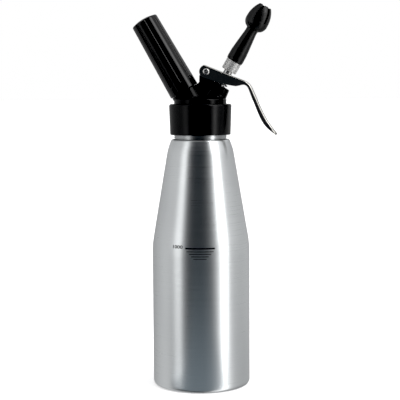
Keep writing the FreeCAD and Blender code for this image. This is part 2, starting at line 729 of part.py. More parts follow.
b.Tip = pat
doc.recompute()
if b.Shape.Volume > before - 1:
    raise RuntimeError("knurl cut nothing")
lean(b, "nozzle")
out["nozzle_adapter"] = b

# tulip tip: tapered shank and a bulb split into six petals
b = new_body("tip_turned")
revolve(b, "tip_shell", [
    (5.4, D.tip_low), (8.15, D.tip_low), (8.55, D.tip_low + 2.6), (8.4, 78.0), (7.45, 87.5),
    (6.55, 95.5), (5.95, 101.0, 6.0), (6.0, 104.3, 1.2), (8.4, 105.7),
    (11.62, 114.4, "arc", 10.75, 108.7), (11.15, 119.5, "arc", 11.52, 117.0),
    (6.3, D.tip_top, "arc", 9.45, 125.1),
    (4.9, D.tip_top - 0.35), (9.7, 119.5, "arc", 8.0, 124.7),
    (10.0, 114.0, "arc", 10.05, 116.8), (6.4, 107.4, "arc", 9.05, 110.0), (3.4, 105.6),
    (4.2, 79.5), (5.4, 78.2),
])
doc.recompute()
tip_solid = b
slots = []
for k in range(3):
    w = D.slot_width.v / 2
    g = doc.addObject("PartDesign::Body", "slot_%d" % (k + 1))
    sk = new_sketch(g, "slot_outline_%d" % (k + 1), "XZ_Plane")
    lo, hi = D.slot_low.v, D.tip_top.v + 3
    profile(sk, [(-w, lo), (w, lo, "arc", 0.0, lo - 0.6 * w), (w + 0.75, hi), (-w - 0.75, hi)])
    doc.recompute()
    f = g.newObject("PartDesign::Pad", "slot_pad_%d" % (k + 1))
    f.Profile = sk
    f.Length = 40
    f.Midplane = True
    doc.recompute()
    g.Placement = FreeCAD.Placement(V(0, 0, 0), FreeCAD.Rotation(V(0, 0, 1), 45.0 + 60.0 * k))
    slots.append(g)
cutter = doc.addObject("Part::MultiFuse", "tip_slots")
cutter.Shapes = slots
doc.recompute()
tip = doc.addObject("Part::Cut", "decorator_tip")
tip.Base = tip_solid
tip.Tool = cutter
lean(tip, "nozzle")
doc.recompute()
out["decorator_tip"] = tip

# ---------------------------------------------------------------- lever
# One pressed steel channel: web on top, side plates down to the pin, handle bent down.
# It is a row of channel sections along the outer line, lofted and cut to the side outline.
px, pz, lr = D.pivot_x.v, D.pivot_z.v, D.lever_round.v
W, T = D.lever_width.v, D.lever_sheet.v
WEB_TILT = 21.68          # the web falls towards the handle
WEB_OVER = 5.69           # the web's top lies this far over the pivot
kk = math.radians(WEB_TILT)
dirx, dirz = math.cos(kk), -math.sin(kk)
foot = (px + WEB_OVER * math.sin(kk), pz + WEB_OVER * math.cos(kk))


def on_web(along):
    return (foot[0] + along * dirx, foot[1] + along * dirz)


half = math.sqrt(lr * lr - WEB_OVER ** 2)
corner = on_web(-half)
bend_start = on_web(38.9)
handle = [bend_start, (48.6, 305.75), (51.4, 302.4), (53.9, 297.2), (57.1, 290.0), (61.0, 281.0),
          (65.1, 272.7), (69.5, 265.4), (74.0, 259.2), (78.0, 254.2)]
outer = Part.BSplineCurve()
outer.interpolate(Points=[V(x, 0, z) for x, z in handle], InitialTangent=V(dirx, 0, dirz), FinalTangent=V(0.625, 0, -0.78))


def channel_section(p, t, width, depth):
    """Closed outline of the channel across the direction t at the point p."""
    n = V(-t.z, 0, t.x)              # away from the hollow side
    if n.z < 0:
        n = n * -1.0
    ro, ri = 1.8, 1.8 - T
    ro = min(ro, width / 2 - 0.3)
    ri = max(0.3, ro - T)
    wi = width / 2 - T
    wi = max(wi, ri + 0.2)

    def P(y, d):
        return p + V(0, y, 0) - n * d

    k = math.sqrt(0.5)
    h = width / 2
    return Part.Wire([
        Part.makeLine(P(-h, depth), P(-h, ro)),
        Part.Arc(P(-h, ro), P(-h + ro - ro * k, ro - ro * k), P(-h + ro, 0)).toShape(),
        Part.makeLine(P(-h + ro, 0), P(h - ro, 0)),
        Part.Arc(P(h - ro, 0), P(h - ro + ro * k, ro - ro * k), P(h, ro)).toShape(),
        Part.makeLine(P(h, ro), P(h, depth)),
        Part.makeLine(P(h, depth), P(wi, depth)),
        Part.makeLine(P(wi, depth), P(wi, T + ri)),
        Part.Arc(P(wi, T + ri), P(wi - ri + ri * k, T + ri - ri * k), P(wi - ri, T)).toShape(),
        Part.makeLine(P(wi - ri, T), P(-wi + ri, T)),
        Part.Arc(P(-wi + ri, T), P(-wi + ri - ri * k, T + ri - ri * k), P(-wi, T + ri)).toShape(),
        Part.makeLine(P(-wi, T + ri), P(-wi, depth)),
        Part.makeLine(P(-wi, depth), P(-h, depth)),
    ])


web_dir = V(dirx, 0, dirz)
u0, u1 = outer.FirstParameter, outer.LastParameter
length = outer.length()
stations = [(0.0, W, 7.2), (0.05, W, 6.9), (0.1, W - 0.1, 6.8), (0.16, W - 0.4, 6.8), (0.24, W - 1.0, 7.0), (0.34, W - 1.9, 7.2),
            (0.45, W - 2.9, 7.3), (0.56, W - 3.9, 7.4), (0.67, W - 4.8, 7.3), (0.78, W - 5.6, 7.0),
            (0.86, W - 6.5, 6.4), (0.91, W - 8.0, 5.8), (0.945, W - 10.0, 5.2), (0.97, W - 12.6, 4.7), (0.99, W - 16.6, 4.3)]
handle_sections = []
for f_, width, depth in stations:
    u = outer.parameterAtDistance(length * f_, u0) if f_ > 0 else u0
    handle_sections.append(channel_section(outer.value(u), outer.tangent(u)[0], width, depth))
handle_part = Part.makeLoft(handle_sections, True, False)
x, z = on_web(-9.0)
far = channel_section(V(x, 0, z), web_dir, W, 17.0)
web_part = Part.makeLoft([far, handle_sections[0]], True, True)
# the two lofts share their joining section: sew every other face of both into one shell
def at_joint(face):
    c = face.CenterOfMass
    return abs((c - outer.value(u0)).dot(web_dir)) < 0.2 and 40 < face.Area < 60
faces = [q for q in web_part.Faces if not at_joint(q)] + [q for q in handle_part.Faces if not at_joint(q)]
shell = Part.makeShell(faces)
shell.sewShape(0.002)
channel = Part.makeSolid(shell.Shells[0] if shell.Shells else shell)
if channel.Volume < 0:
    channel.reverse()
print("lever joint", round(outer.tangent(u0)[0].dot(web_dir), 6))
print("lever channel", channel.isValid(), channel.isClosed(), len(faces), round(web_part.Volume + handle_part.Volume, 1), round(channel.Volume, 1))

# side outline: rounded end about the pin, lower edge of the plates, lower edge of the handle
a0 = math.atan2(corner[1] - pz, corner[0] - px)
a1 = math.radians(238.0)
am = (a0 + a1) / 2
low = (px + lr * math.cos(a1), pz + lr * math.sin(a1))
lower = Part.BSplineCurve()
lower.interpolate(Points=[V(x, 0, z) for x, z in (
    (76.6, 252.9), (71.3, 257.2), (65.6, 262.6), (61.1, 269.6), (57.3, 278.2), (53.8, 287.0), (51.4, 293.1),
    (49.3, 298.7), (48.0, 301.3), (46.4, 302.9), (43.9, 303.8), (40.2, 303.4), (36.6, 302.6),
    (32.4, 302.3), (28.2, 302.8), (24.3, 304.2))])
up = V(-math.sin(kk) * -8.0, 0, math.cos(kk) * 8.0)
c3 = V(corner[0], 0, corner[1])
side = [
    lower.toShape(),
    Part.makeLine(V(24.3, 0, 304.2), V(low[0], 0, low[1])),
    Part.Arc(V(low[0], 0, low[1]), V(px + lr * math.cos(am), 0, pz + lr * math.sin(am)), c3).toShape(),
    Part.makeLine(c3, c3 + up),
    Part.makeLine(c3 + up, V(96, 0, 310)),
    Part.makeLine(V(96, 0, 310), V(96, 0, 252.9)),
    Part.makeLine(V(96, 0, 252.9), V(76.6, 0, 252.9)),
]
side_face = Part.Face(Part.Wire(Part.__sortEdges__(side)))
prism = side_face.extrude(V(0, 40, 0))
prism.translate(V(0, -20, 0))
channel = channel.common(prism)

# slot for the press collar's sleeve, and the pin holes
sx, sz = on_web(18.15)
hw, hl = 4.95, 1.35
w = Part.Wire([
    Part.makeLine(V(-hl, -hw, -6), V(hl, -hw, -6)),
    Part.Arc(V(hl, -hw, -6), V(hl + hw, 0, -6), V(hl, hw, -6)).toShape(),
    Part.makeLine(V(hl, hw, -6), V(-hl, hw, -6)),
    Part.Arc(V(-hl, hw, -6), V(-hl - hw, 0, -6), V(-hl, -hw, -6)).toShape(),
])
slot = Part.Face(w).extrude(V(0, 0, 12))
slot.Placement = FreeCAD.Placement(V(sx, 0, sz), FreeCAD.Rotation(V(0, 1, 0), WEB_TILT))
channel = channel.cut(slot)
hole = Part.makeCylinder(D.pin_radius.v + 0.05, 40, V(px, -20, pz), V(0, 1, 0))
channel = channel.cut(hole)
print("lever solids", len(channel.Solids), [round(s.Volume, 1) for s in channel.Solids], channel.isValid())
lev = doc.addObject("Part::Feature", "lever")
lev.Shape = max(channel.Solids, key=lambda q: q.Volume)
out["lever"] = lev

# lever pin: shouldered barrel from the front, screw from the back
pin_half = W / 2
b = new_body("lever_pin")
revolve(b, "pin_turned", [
    (0, 4.0), (1.45, 4.0), (1.45, 0.25), (1.75, -0.35), (3.2, 0.35, "arc", 2.7, -0.22), (3.2, 0.75), (D.pin_radius, 0.75),
    (D.pin_radius, W + 1.4), (1.6, W + 1.4), (1.6, 12.0), (0, 11.2),
])
b.Placement = FreeCAD.Placement(V(px, -pin_half - 0.8, pz), FreeCAD.Rotation(V(1, 0, 0), -90))
doc.recompute()
out["lever_pin"] = b
b = new_body("lever_pin_screw")
revolve(b, "screw_turned", [
    (0, 0.0), (1.5, 0.0), (1.5, 9.6), (3.2, 9.6), (3.2, 10.3, 0.3), (1.3, 10.3), (1.3, 9.9), (0, 9.9),
])
b.Placement = FreeCAD.Placement(V(px, pin_half + 0.65 - 9.6, pz), FreeCAD.Rotation(V(1, 0, 0), -90))
doc.recompute()
out["lever_pin_screw"] = b

# ---------------------------------------------------------------- check and write
doc.recompute()
bad = []
for o in doc.Objects:
    if any(s in ("Invalid", "Error") for s in o.State):
        bad.append("%s %s" % (o.Name, o.State))
for node, o in out.items():
    s = o.Shape
    if s.isNull() or not s.isValid() or not s.Solids:
        bad.append("%s shape null or not valid" % node)
if bad:
    raise RuntimeError("; ".join(bad))
os.makedirs("parts", exist_ok=True)
for node, o in out.items():
    o.Label = node
    bb = o.Shape.BoundBox
    print("%-18s solids %d volume %9.1f x %.1f..%.1f y %.1f..%.1f z %.1f..%.1f" % (
        node, len(o.Shape.Solids), o.Shape.Volume, bb.XMin, bb.XMax, bb.YMin, bb.YMax, bb.ZMin, bb.ZMax))
    o.Shape.exportStep("parts/%s.step" % node)
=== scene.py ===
import math
import bpy
import bmesh
import numpy as np
from mathutils import Matrix, Vector
from mathutils.bvhtree import BVHTree


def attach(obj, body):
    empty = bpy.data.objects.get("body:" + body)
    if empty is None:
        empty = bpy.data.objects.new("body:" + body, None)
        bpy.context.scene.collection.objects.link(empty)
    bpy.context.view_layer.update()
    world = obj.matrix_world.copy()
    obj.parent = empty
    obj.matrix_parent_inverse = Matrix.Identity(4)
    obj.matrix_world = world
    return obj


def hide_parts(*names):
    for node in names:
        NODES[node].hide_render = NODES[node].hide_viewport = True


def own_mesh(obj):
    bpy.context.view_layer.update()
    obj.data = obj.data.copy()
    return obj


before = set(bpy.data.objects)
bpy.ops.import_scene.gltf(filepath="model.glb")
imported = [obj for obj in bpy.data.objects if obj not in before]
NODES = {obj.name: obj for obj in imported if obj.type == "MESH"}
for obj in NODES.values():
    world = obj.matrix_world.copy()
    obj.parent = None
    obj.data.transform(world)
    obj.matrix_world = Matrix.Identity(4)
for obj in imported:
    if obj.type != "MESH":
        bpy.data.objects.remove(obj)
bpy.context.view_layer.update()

# Whipped cream dispenser, one litre: finish, print, lights and camera.
# Metres, +Z up, origin at the centre of the bottle's base.

MM = 0.001

# leaning axes: (foot on the bottle's axis, unit direction)
NOZZLE_TILT, CHARGER_TILT = math.radians(30.2), math.radians(29.7)
NOZZLE = (Vector((0, 0, 0.2684)), Vector((math.sin(NOZZLE_TILT), 0, math.cos(NOZZLE_TILT))), NOZZLE_TILT)
CHARGER = (Vector((0, 0, 0.2700)), Vector((-math.sin(CHARGER_TILT), 0, math.cos(CHARGER_TILT))), -CHARGER_TILT)


# ------------------------------------------------------------------ node helpers
class Tree:
    """Short way to write a material's nodes."""

    def __init__(self, name):
        self.mat = bpy.data.materials.new(name)
        self.mat.use_nodes = True
        self.nt = self.mat.node_tree
        self.nt.nodes.clear()
        self.out = self.nt.nodes.new("ShaderNodeOutputMaterial")
        self.bsdf = self.nt.nodes.new("ShaderNodeBsdfPrincipled")
        self.nt.links.new(self.bsdf.outputs["BSDF"], self.out.inputs["Surface"])
        self.coord = self.nt.nodes.new("ShaderNodeTexCoord")

    def link(self, a, b):
        self.nt.links.new(a, b)

    def set(self, **values):
        for k, v in values.items():
            key = k.replace("_", " ")
            s = self.bsdf.inputs[key]
            if hasattr(v, "is_linked"):
                self.link(v, s)
            elif isinstance(v, (tuple, list)):
                s.default_value = (*v, 1.0) if len(v) == 3 and len(s.default_value) == 4 else v
            else:
                s.default_value = v

    def place(self, scale=(1, 1, 1), axis=None):
        """Object coordinates, along a leaning axis if one is given, times scale."""
        src = self.coord.outputs["Object"]
        if axis is not None:
            foot, _, tilt = axis
            rot = Matrix.Rotation(-tilt, 3, "Y")
            back = rot @ foot
            m = self.nt.nodes.new("ShaderNodeMapping")
            m.inputs["Rotation"].default_value = (0, -tilt, 0)
            m.inputs["Location"].default_value = (-back.x, -back.y, -back.z)
            self.link(src, m.inputs["Vector"])
            src = m.outputs["Vector"]
        m = self.nt.nodes.new("ShaderNodeMapping")
        m.inputs["Scale"].default_value = scale
        self.link(src, m.inputs["Vector"])
        return m.outputs["Vector"]

    def noise(self, vector, scale=1.0, detail=2.0, rough=0.5, distortion=0.0):
        n = self.nt.nodes.new("ShaderNodeTexNoise")
        n.inputs["Scale"].default_value = scale
        n.inputs["Detail"].default_value = detail
        n.inputs["Roughness"].default_value = rough
        n.inputs["Distortion"].default_value = distortion
        self.link(vector, n.inputs["Vector"])
        return n.outputs["Fac"]

    def voronoi(self, vector, scale=1.0, feature="F1"):
        n = self.nt.nodes.new("ShaderNodeTexVoronoi")
        n.feature = feature
        n.inputs["Scale"].default_value = scale
        self.link(vector, n.inputs["Vector"])
        return n.outputs["Distance"]

    def remap(self, value, lo, hi, to_lo, to_hi, smooth=False):
        n = self.nt.nodes.new("ShaderNodeMapRange")
        n.interpolation_type = "SMOOTHSTEP" if smooth else "LINEAR"
        n.inputs["From Min"].default_value = lo
        n.inputs["From Max"].default_value = hi
        n.inputs["To Min"].default_value = to_lo
        n.inputs["To Max"].default_value = to_hi
        self.link(value, n.inputs["Value"])
        return n.outputs["Result"]

    def math(self, op, a, b=None, clamp=False):
        n = self.nt.nodes.new("ShaderNodeMath")
        n.operation = op
        n.use_clamp = clamp
        for i, v in enumerate((a, b)):
            if v is None:
                continue
            if hasattr(v, "is_linked"):
                self.link(v, n.inputs[i])
            else:
                n.inputs[i].default_value = v
        return n.outputs[0]

    def mix(self, fac, a, b):
        n = self.nt.nodes.new("ShaderNodeMix")
        n.data_type = "RGBA"
        if hasattr(fac, "is_linked"):
            self.link(fac, n.inputs["Factor"])
        else:
            n.inputs["Factor"].default_value = fac
        for key, v in ((6, a), (7, b)):
            if hasattr(v, "is_linked"):
                self.link(v, n.inputs[key])
            else:
                n.inputs[key].default_value = (*v, 1.0)
        return n.outputs[2]

    def bump(self, height, strength, distance, normal=None):
        n = self.nt.nodes.new("ShaderNodeBump")
        n.inputs["Strength"].default_value = strength
        n.inputs["Distance"].default_value = distance
        self.link(height, n.inputs["Height"])
        if normal is not None:
            self.link(normal, n.inputs["Normal"])
        return n.outputs["Normal"]

    def soft_edge(self, radius):
        n = self.nt.nodes.new("ShaderNodeBevel")
        n.samples = 6
        n.inputs["Radius"].default_value = radius
        return n.outputs["Normal"]

    def edge_wear(self, sharp=0.52, wide=0.62):
        g = self.nt.nodes.new("ShaderNodeNewGeometry")
        return self.remap(g.outputs["Pointiness"], sharp, wide, 0.0, 1.0)


def plastic(name, color, rough, specular=0.35, grain=900.0, grain_depth=0.00001, wave=160.0, axis=None, edge=0.0003, lift=0.02, wave_depth=0.00003, scuffs=0.10):
    t = Tree(name)
    v = t.place(axis=axis)
    fine = t.noise(v, grain, 3.0, 0.6)
    broad = t.noise(v, wave, 2.0, 0.5)
    scuff = t.noise(t.place((60, 60, 900), axis), 1.0, 4.0, 0.7)
    scuff = t.remap(scuff, 0.62, 0.74, 0.0, 1.0)
    dark = color
    light = tuple(min(1.0, c + lift) for c in color)
    col = t.mix(t.remap(broad, 0.3, 0.7, 0.0, 0.35), dark, light)
    r = t.remap(broad, 0.25, 0.75, rough * 0.88, rough * 1.14)
    r = t.math("ADD", r, t.math("MULTIPLY", scuff, scuffs))
    t.set(Base_Color=col, Roughness=r, Specular_IOR_Level=specular, IOR=1.49)
    n = t.soft_edge(edge) if edge else None
    n = t.bump(fine, 0.25, grain_depth, n)
    n = t.bump(broad, 0.5, wave_depth, n)
    t.set(Normal=n)
    return t.mat


def steel(name, color, rough, grain=(60, 60, 6000), axis=None, depth=0.000004, edge=0.00025, aniso=0.0, wear=0.06):
    t = Tree(name)
    lines = t.noise(t.place(grain, axis), 1.0, 4.0, 0.65)
    cloud = t.noise(t.place(axis=axis), 90.0, 2.0, 0.5)
    dark = tuple(c * (1 - wear) for c in color)
    col = t.mix(t.remap(lines, 0.3, 0.7, 0.0, 1.0), dark, color)
    r = t.math("ADD", t.remap(lines, 0.3, 0.7, rough * 0.8, rough * 1.2), t.remap(cloud, 0.3, 0.7, -0.02, 0.03))
    t.set(Base_Color=col, Metallic=1.0, Roughness=r, Anisotropic=aniso)
    n = t.soft_edge(edge) if edge else None
    t.set(Normal=t.bump(lines, 0.5, depth, n))
    return t.mat


# ------------------------------------------------------------------ materials
def bottle_material():
    t = Tree("bottle_brushed_aluminium")
    hair = t.noise(t.place((16, 16, 5200)), 1.0, 3.0, 0.6)         # fine circumferential brushing
    band = t.noise(t.place((9, 9, 900)), 1.0, 3.0, 0.55)           # bundles of brush lines
    cloud = t.noise(t.place((1, 1, 0.4)), 26.0, 2.0, 0.5)
    streak = t.math("ADD", t.math("MULTIPLY", hair, 0.6), t.math("MULTIPLY", band, 0.4))
    col = t.mix(t.remap(streak, 0.35, 0.65, 0.0, 1.0), (0.790, 0.815, 0.821), (0.832, 0.856, 0.862))
    col = t.mix(t.remap(cloud, 0.3, 0.7, 0.0, 0.35), col, (0.79, 0.81, 0.825))
    # painted shade: the base colour darkens towards the top of the neck, under the collar, standing in for the collar's
    # shade and dark reflection there
    height = t.nt.nodes.new("ShaderNodeSeparateXYZ")
    t.link(t.coord.outputs["Object"], height.inputs[0])
    painted_neck_shade = t.math("ADD", t.remap(height.outputs["Z"], 0.2478, 0.2506, 0.0, 0.50, True), t.remap(cloud, 0.3, 0.7, -0.04, 0.04), True)
    col = t.mix(painted_neck_shade, col, (0.16, 0.165, 0.17))
    r = t.math("ADD", t.remap(streak, 0.35, 0.65, 0.27, 0.36), t.remap(cloud, 0.3, 0.7, -0.012, 0.012))
    tan = t.nt.nodes.new("ShaderNodeTangent")
    tan.direction_type = "RADIAL"
    tan.axis = "Z"
    t.set(Base_Color=col, Metallic=1.0, Roughness=r, Anisotropic=0.82, Anisotropic_Rotation=0.25, Tangent=tan.outputs["Tangent"])
    t.set(Normal=t.bump(streak, 0.25, 0.000006))
    return t.mat


MATERIALS = {
    "bottle": bottle_material(),
    "head_body": plastic("head_gloss_black", (0.002, 0.002, 0.0022), 0.21, 0.15, 1400, 0.000003, 120, edge=0.0010, lift=0.002, wave_depth=0.000006, scuffs=0.03),
    "grip_collar": plastic("collar_black", (0.002, 0.0021, 0.0024), 0.24, 0.21, 1600, 0.000003, 120, edge=0.0005, lift=0.002, wave_depth=0.000006, scuffs=0.03),
    "charger_holder": plastic("holder_gloss_black", (0.002, 0.002, 0.0022), 0.13, 0.34, 1400, 0.000003, 140, CHARGER, edge=0.0010, lift=0.002, wave_depth=0.000010, scuffs=0.03),
    "decorator_tip": plastic("tip_satin_black", (0.004, 0.004, 0.0042), 0.34, 0.42, 2200, 0.000014, 300, NOZZLE, edge=0.0005, lift=0.004),
    "lever": steel("lever_polished_steel", (0.565, 0.553, 0.522), 0.16, (300, 3000, 300), None, 0.000003, 0.0004),
    "nozzle_adapter": steel("adapter_knurled_steel", (0.95, 0.945, 0.93), 0.46, (3000, 3000, 60), NOZZLE, 0.000004, 0.00015),
    "lever_pin": steel("pin_turned_steel", (0.92, 0.915, 0.90), 0.30, (5000, 60, 5000), None, 0.000003, 0.00015),
    "lever_pin_screw": steel("screw_turned_steel", (0.70, 0.70, 0.69), 0.20, (5000, 60, 5000), None, 0.000003, 0.00015),
    "valve_stem": steel("stem_turned_steel", (0.58, 0.58, 0.58), 0.22, (60, 60, 7000), NOZZLE),
    "valve_nut": steel("nut_steel", (0.56, 0.56, 0.57), 0.26, (900, 900, 900), NOZZLE),
    "press_collar": steel("press_collar_steel", (0.58, 0.58, 0.58), 0.24, (60, 60, 7000), NOZZLE),
    "valve_spring": steel("valve_spring_wire", (0.60, 0.60, 0.61), 0.24, (1500, 1500, 500), NOZZLE),
    "check_spring": steel("check_spring_wire", (0.60, 0.60, 0.61), 0.24, (1500, 1500, 500), CHARGER),
    "check_ball": steel("ball_ground_steel", (0.68, 0.68, 0.69), 0.12, (2500, 2500, 2500), CHARGER, 0.000001),
    "piercing_pin": steel("needle_ground_steel", (0.60, 0.60, 0.60), 0.22, (60, 60, 9000), CHARGER, 0.000002),
    "pin_carrier": steel("carrier_turned_brass", (0.72, 0.52, 0.24), 0.27, (60, 60, 6000), CHARGER),
    "gas_charger": steel("charger_plated_steel", (0.62, 0.62, 0.61), 0.23, (400, 400, 900), CHARGER),
    "valve_bush": plastic("bush_natural_acetal", (0.78, 0.77, 0.73), 0.42, 0.5, 1200, 0.00001, 300, NOZZLE, 0.0002, 0.05),
    "stem_o_rings": plastic("o_ring_nitrile", (0.012, 0.012, 0.012), 0.52, 0.4, 1800, 0.00001, 500, NOZZLE, 0.0, 0.01),
    "valve_seal": plastic("seal_nitrile", (0.014, 0.014, 0.014), 0.55, 0.4, 1800, 0.00001, 500, NOZZLE, 0.0002, 0.01),
    "charger_seal": plastic("washer_nitrile", (0.014, 0.014, 0.014), 0.55, 0.4, 1800, 0.00001, 500, CHARGER, 0.0, 0.01),
    "head_gasket": plastic("gasket_silicone", (0.70, 0.68, 0.62), 0.48, 0.45, 1500, 0.00001, 300, None, 0.0003, 0.05),
}
for name, mat in MATERIALS.items():
    slots = NODES[name].material_slots
    if len(slots) == 0:
        NODES[name].data.materials.append(mat)
    for s in slots:
        s.material = mat


# ------------------------------------------------------------------ print on the bottle
def bvh_of(node):
    m = NODES[node].data
    return BVHTree.FromPolygons([v.co.copy() for v in m.vertices], [tuple(p.vertices) for p in m.polygons])


BOTTLE = bvh_of("bottle")


def on_bottle(azimuth, z, proud):
    """Point on the bottle's outside, azimuth in radians from -Y towards +X, standing proud of it."""
    out = Vector((math.sin(azimuth), -math.cos(azimuth), 0))
    hit, normal, _, _ = BOTTLE.ray_cast(out * 0.2 + Vector((0, 0, z)), -out)
    if normal.dot(out) < 0:
        normal = -normal
    return hit + normal * proud


PRINT_MIDDLE = math.radians(3.7)
PRINT_RADIUS = 0.0490
INK = 0.00005


def ink_material():
    t = Tree("print_ink")
    v = t.place()
    grain = t.noise(v, 2600, 3.0, 0.7)
    broad = t.noise(v, 300, 2.0, 0.5)
    col = t.mix(t.remap(grain, 0.35, 0.7, 0.0, 1.0), (0.003, 0.003, 0.004), (0.010, 0.010, 0.012))
    t.set(Base_Color=col, Roughness=t.remap(broad, 0.3, 0.7, 0.55, 0.70), Specular_IOR_Level=0.12)
    t.set(Normal=t.bump(grain, 0.3, 0.00001))
    return t.mat


INK_MATERIAL = ink_material()


def finish_mesh(name, bm, mat, body, smooth=True):
    bmesh.ops.recalc_face_normals(bm, faces=bm.faces)
    m = bpy.data.meshes.new(name)
    bm.to_mesh(m)
    bm.free()
    for p in m.polygons:
        p.use_smooth = smooth
    m.materials.append(mat)
    o = bpy.data.objects.new(name, m)
    bpy.context.scene.collection.objects.link(o)
    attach(o, body)
    return o


def print_bar(name, width, height, z):
    """A printed line round the front of the bottle: a thin closed strip with rounded ends."""
    half, r = width / 2, height / 2
    outline = []
    n = 40
    for i in range(n + 1):
        outline.append((-half + r + (width - height) * i / n, -r))
    for i in range(1, 8):
        a = -math.pi / 2 + math.pi * i / 8
        outline.append((half - r + r * math.cos(a), r * math.sin(a)))
    for i in range(n + 1):
        outline.append((half - r - (width - height) * i / n, r))
    for i in range(1, 8):
        a = math.pi / 2 + math.pi * i / 8
        outline.append((-half + r + r * math.cos(a), r * math.sin(a)))
    bm = bmesh.new()
    rings = []
    for proud in (-0.00002, INK):
        rings.append([bm.verts.new(on_bottle(PRINT_MIDDLE + x / PRINT_RADIUS, z + y, proud)) for x, y in outline])
    k = len(outline)
    for i in range(k):
        j = (i + 1) % k
        bm.faces.new((rings[0][i], rings[0][j], rings[1][j], rings[1][i]))
    # strips across between the lower and the upper side
    lower = list(range(0, n + 1))
    upper = list(range(n + 8 + n, n + 7, -1))
    for ring, flip in ((rings[1], False), (rings[0], True)):
        for i in range(n):
            q = [ring[lower[i]], ring[lower[i + 1]], ring[upper[i + 1]], ring[upper[i]]]
            bm.faces.new(q[::-1] if flip else q)
        end_a = [ring[i] for i in range(n, n + 9)]
        end_b = [ring[i] for i in range(2 * n + 8, k)] + [ring[0]]
        bm.faces.new(end_a if not flip else end_a[::-1])
        bm.faces.new(end_b if not flip else end_b[::-1])
    return finish_mesh(name, bm, INK_MATERIAL, "bottle", smooth=False)


print_bar("fill_mark", 0.0302, 0.00155, 0.1446)
print_bar("fill_tick_1", 0.0270, 0.00062, 0.14146)
print_bar("fill_tick_2", 0.0219, 0.00062, 0.13903)
print_bar("fill_tick_3", 0.0173, 0.00062, 0.13662)
print_bar("fill_tick_4", 0.0129, 0.00062, 0.13420)


def print_number(name, text, left, base, height, width):
    """A plain number printed beside the fill mark, wrapped on to the bottle."""
    cu = bpy.data.curves.new(name + "_text", "FONT")
    cu.body = text
    cu.size = 1.0
    cu.extrude = 0.0
    cu.resolution_u = 6
    cu.offset = 0.022
    tmp = bpy.data.objects.new(name + "_text", cu)
    bpy.context.scene.collection.objects.link(tmp)
    bpy.context.view_layer.update()
    flat = bpy.data.meshes.new_from_object(tmp.evaluated_get(bpy.context.evaluated_depsgraph_get()))
    bpy.data.objects.remove(tmp)
    co = np.array([v.co for v in flat.vertices]).reshape(-1, 3)
    lo, hi = co.min(0), co.max(0)
    k = height / (hi[1] - lo[1])
    kx = width / (hi[0] - lo[0])
    bm = bmesh.new()
    bm.from_mesh(flat)
    bmesh.ops.remove_doubles(bm, verts=bm.verts, dist=1e-5)
    bmesh.ops.triangulate(bm, faces=bm.faces)
    geom = bmesh.ops.extrude_face_region(bm, geom=list(bm.faces))
    top = {v for v in geom["geom"] if isinstance(v, bmesh.types.BMVert)}
    for v in bm.verts:
        x, y = (v.co.x - lo[0]) * kx, (v.co.y - lo[1]) * k
        v.co = on_bottle(left / PRINT_RADIUS + PRINT_MIDDLE + x / PRINT_RADIUS, base + y, INK if v in top else -0.00002)
    o = finish_mesh(name, bm, INK_MATERIAL, "bottle", smooth=False)
    return o


print_number("fill_number", "1000", -0.0284, 0.1441, 0.0034, 0.0108)


# ------------------------------------------------------------------ fillets at the foot of the bosses
DISC_TOP, DISC_EDGE = 0.2906, 0.0243


def boss_fillet(name, axis, radius_at, last, size):
    """Concave fillet where a leaning boss stands on the disc: closed strips sunk into both."""
    foot, d, _ = axis
    e2 = Vector((0, 1, 0))
    e1 = e2.cross(d)
    count = 144
    sections = []
    for i in range(count):
        a = 2 * math.pi * i / count
        radial = e1 * math.cos(a) + e2 * math.sin(a)
        t = (DISC_TOP - foot.z) / d.z
        for _ in range(6):
            t = (DISC_TOP - foot.z - radius_at(t) * radial.z) / d.z
        mid = foot + d * t + radial * radius_at(t)
        flat = Vector((radial.x, radial.y, 0)).normalized()
        room = min(size, 0.6 * (last - t), DISC_EDGE - math.hypot(mid.x, mid.y))
        if room < 0.00025:
            sections.append(None)
            continue
        top = foot + d * (t + room) + radial * (radius_at(t + room) - 0.00002)
        base = mid + flat * room - Vector((0, 0, 0.00002))
        loop = [top * (1 - k) ** 2 + mid * 2 * k * (1 - k) + base * k * k for k in (q / 7 for q in range(8))]
        loop.append(base - Vector((0, 0, 0.0004)))
        loop.append(mid - flat * 0.0004 - Vector((0, 0, 0.0004)))
        loop.append(top - radial * 0.0004)
        sections.append(loop)
    if all(q is None for q in sections):
        return None
    start = next((i for i in range(count) if sections[i] is not None and sections[i - 1] is None), 0)
    order = [(start + i) % count for i in range(count)]
    bm = bmesh.new()
    rings, first, closed = [], None, all(q is not None for q in sections)
    for i in order:
        rings.append([bm.verts.new(c) for c in sections[i]] if sections[i] is not None else None)
    pairs = list(zip(rings[:-1], rings[1:])) + ([(rings[-1], rings[0])] if closed else [])
    for a, b in pairs:
        if a is None or b is None:
            continue
        n = len(a)
        for j in range(n):
            bm.faces.new((a[j], a[(j + 1) % n], b[(j + 1) % n], b[j]))
    if not closed:
        for i, ring in enumerate(rings):
            if ring is None:
                continue
            before = rings[i - 1] if i > 0 else None
            after = rings[i + 1] if i + 1 < len(rings) else None
            if before is None:
                bm.faces.new(ring[::-1])
            if after is None:
                bm.faces.new(ring)
    loose = [v for v in bm.verts if not v.link_faces]
    bmesh.ops.delete(bm, geom=loose, context="VERTS")
    return finish_mesh(name, bm, MATERIALS["head_body"], "head")


boss_fillet("charger_boss_fillet", CHARGER, lambda t: 0.0143, 0.0315, 0.0026)
boss_fillet("valve_boss_fillet", NOZZLE, lambda t: 0.0129 + (0.0103 - 0.0129) * (t - 0.0206) / (0.0407 - 0.0206), 0.0400, 0.0034)
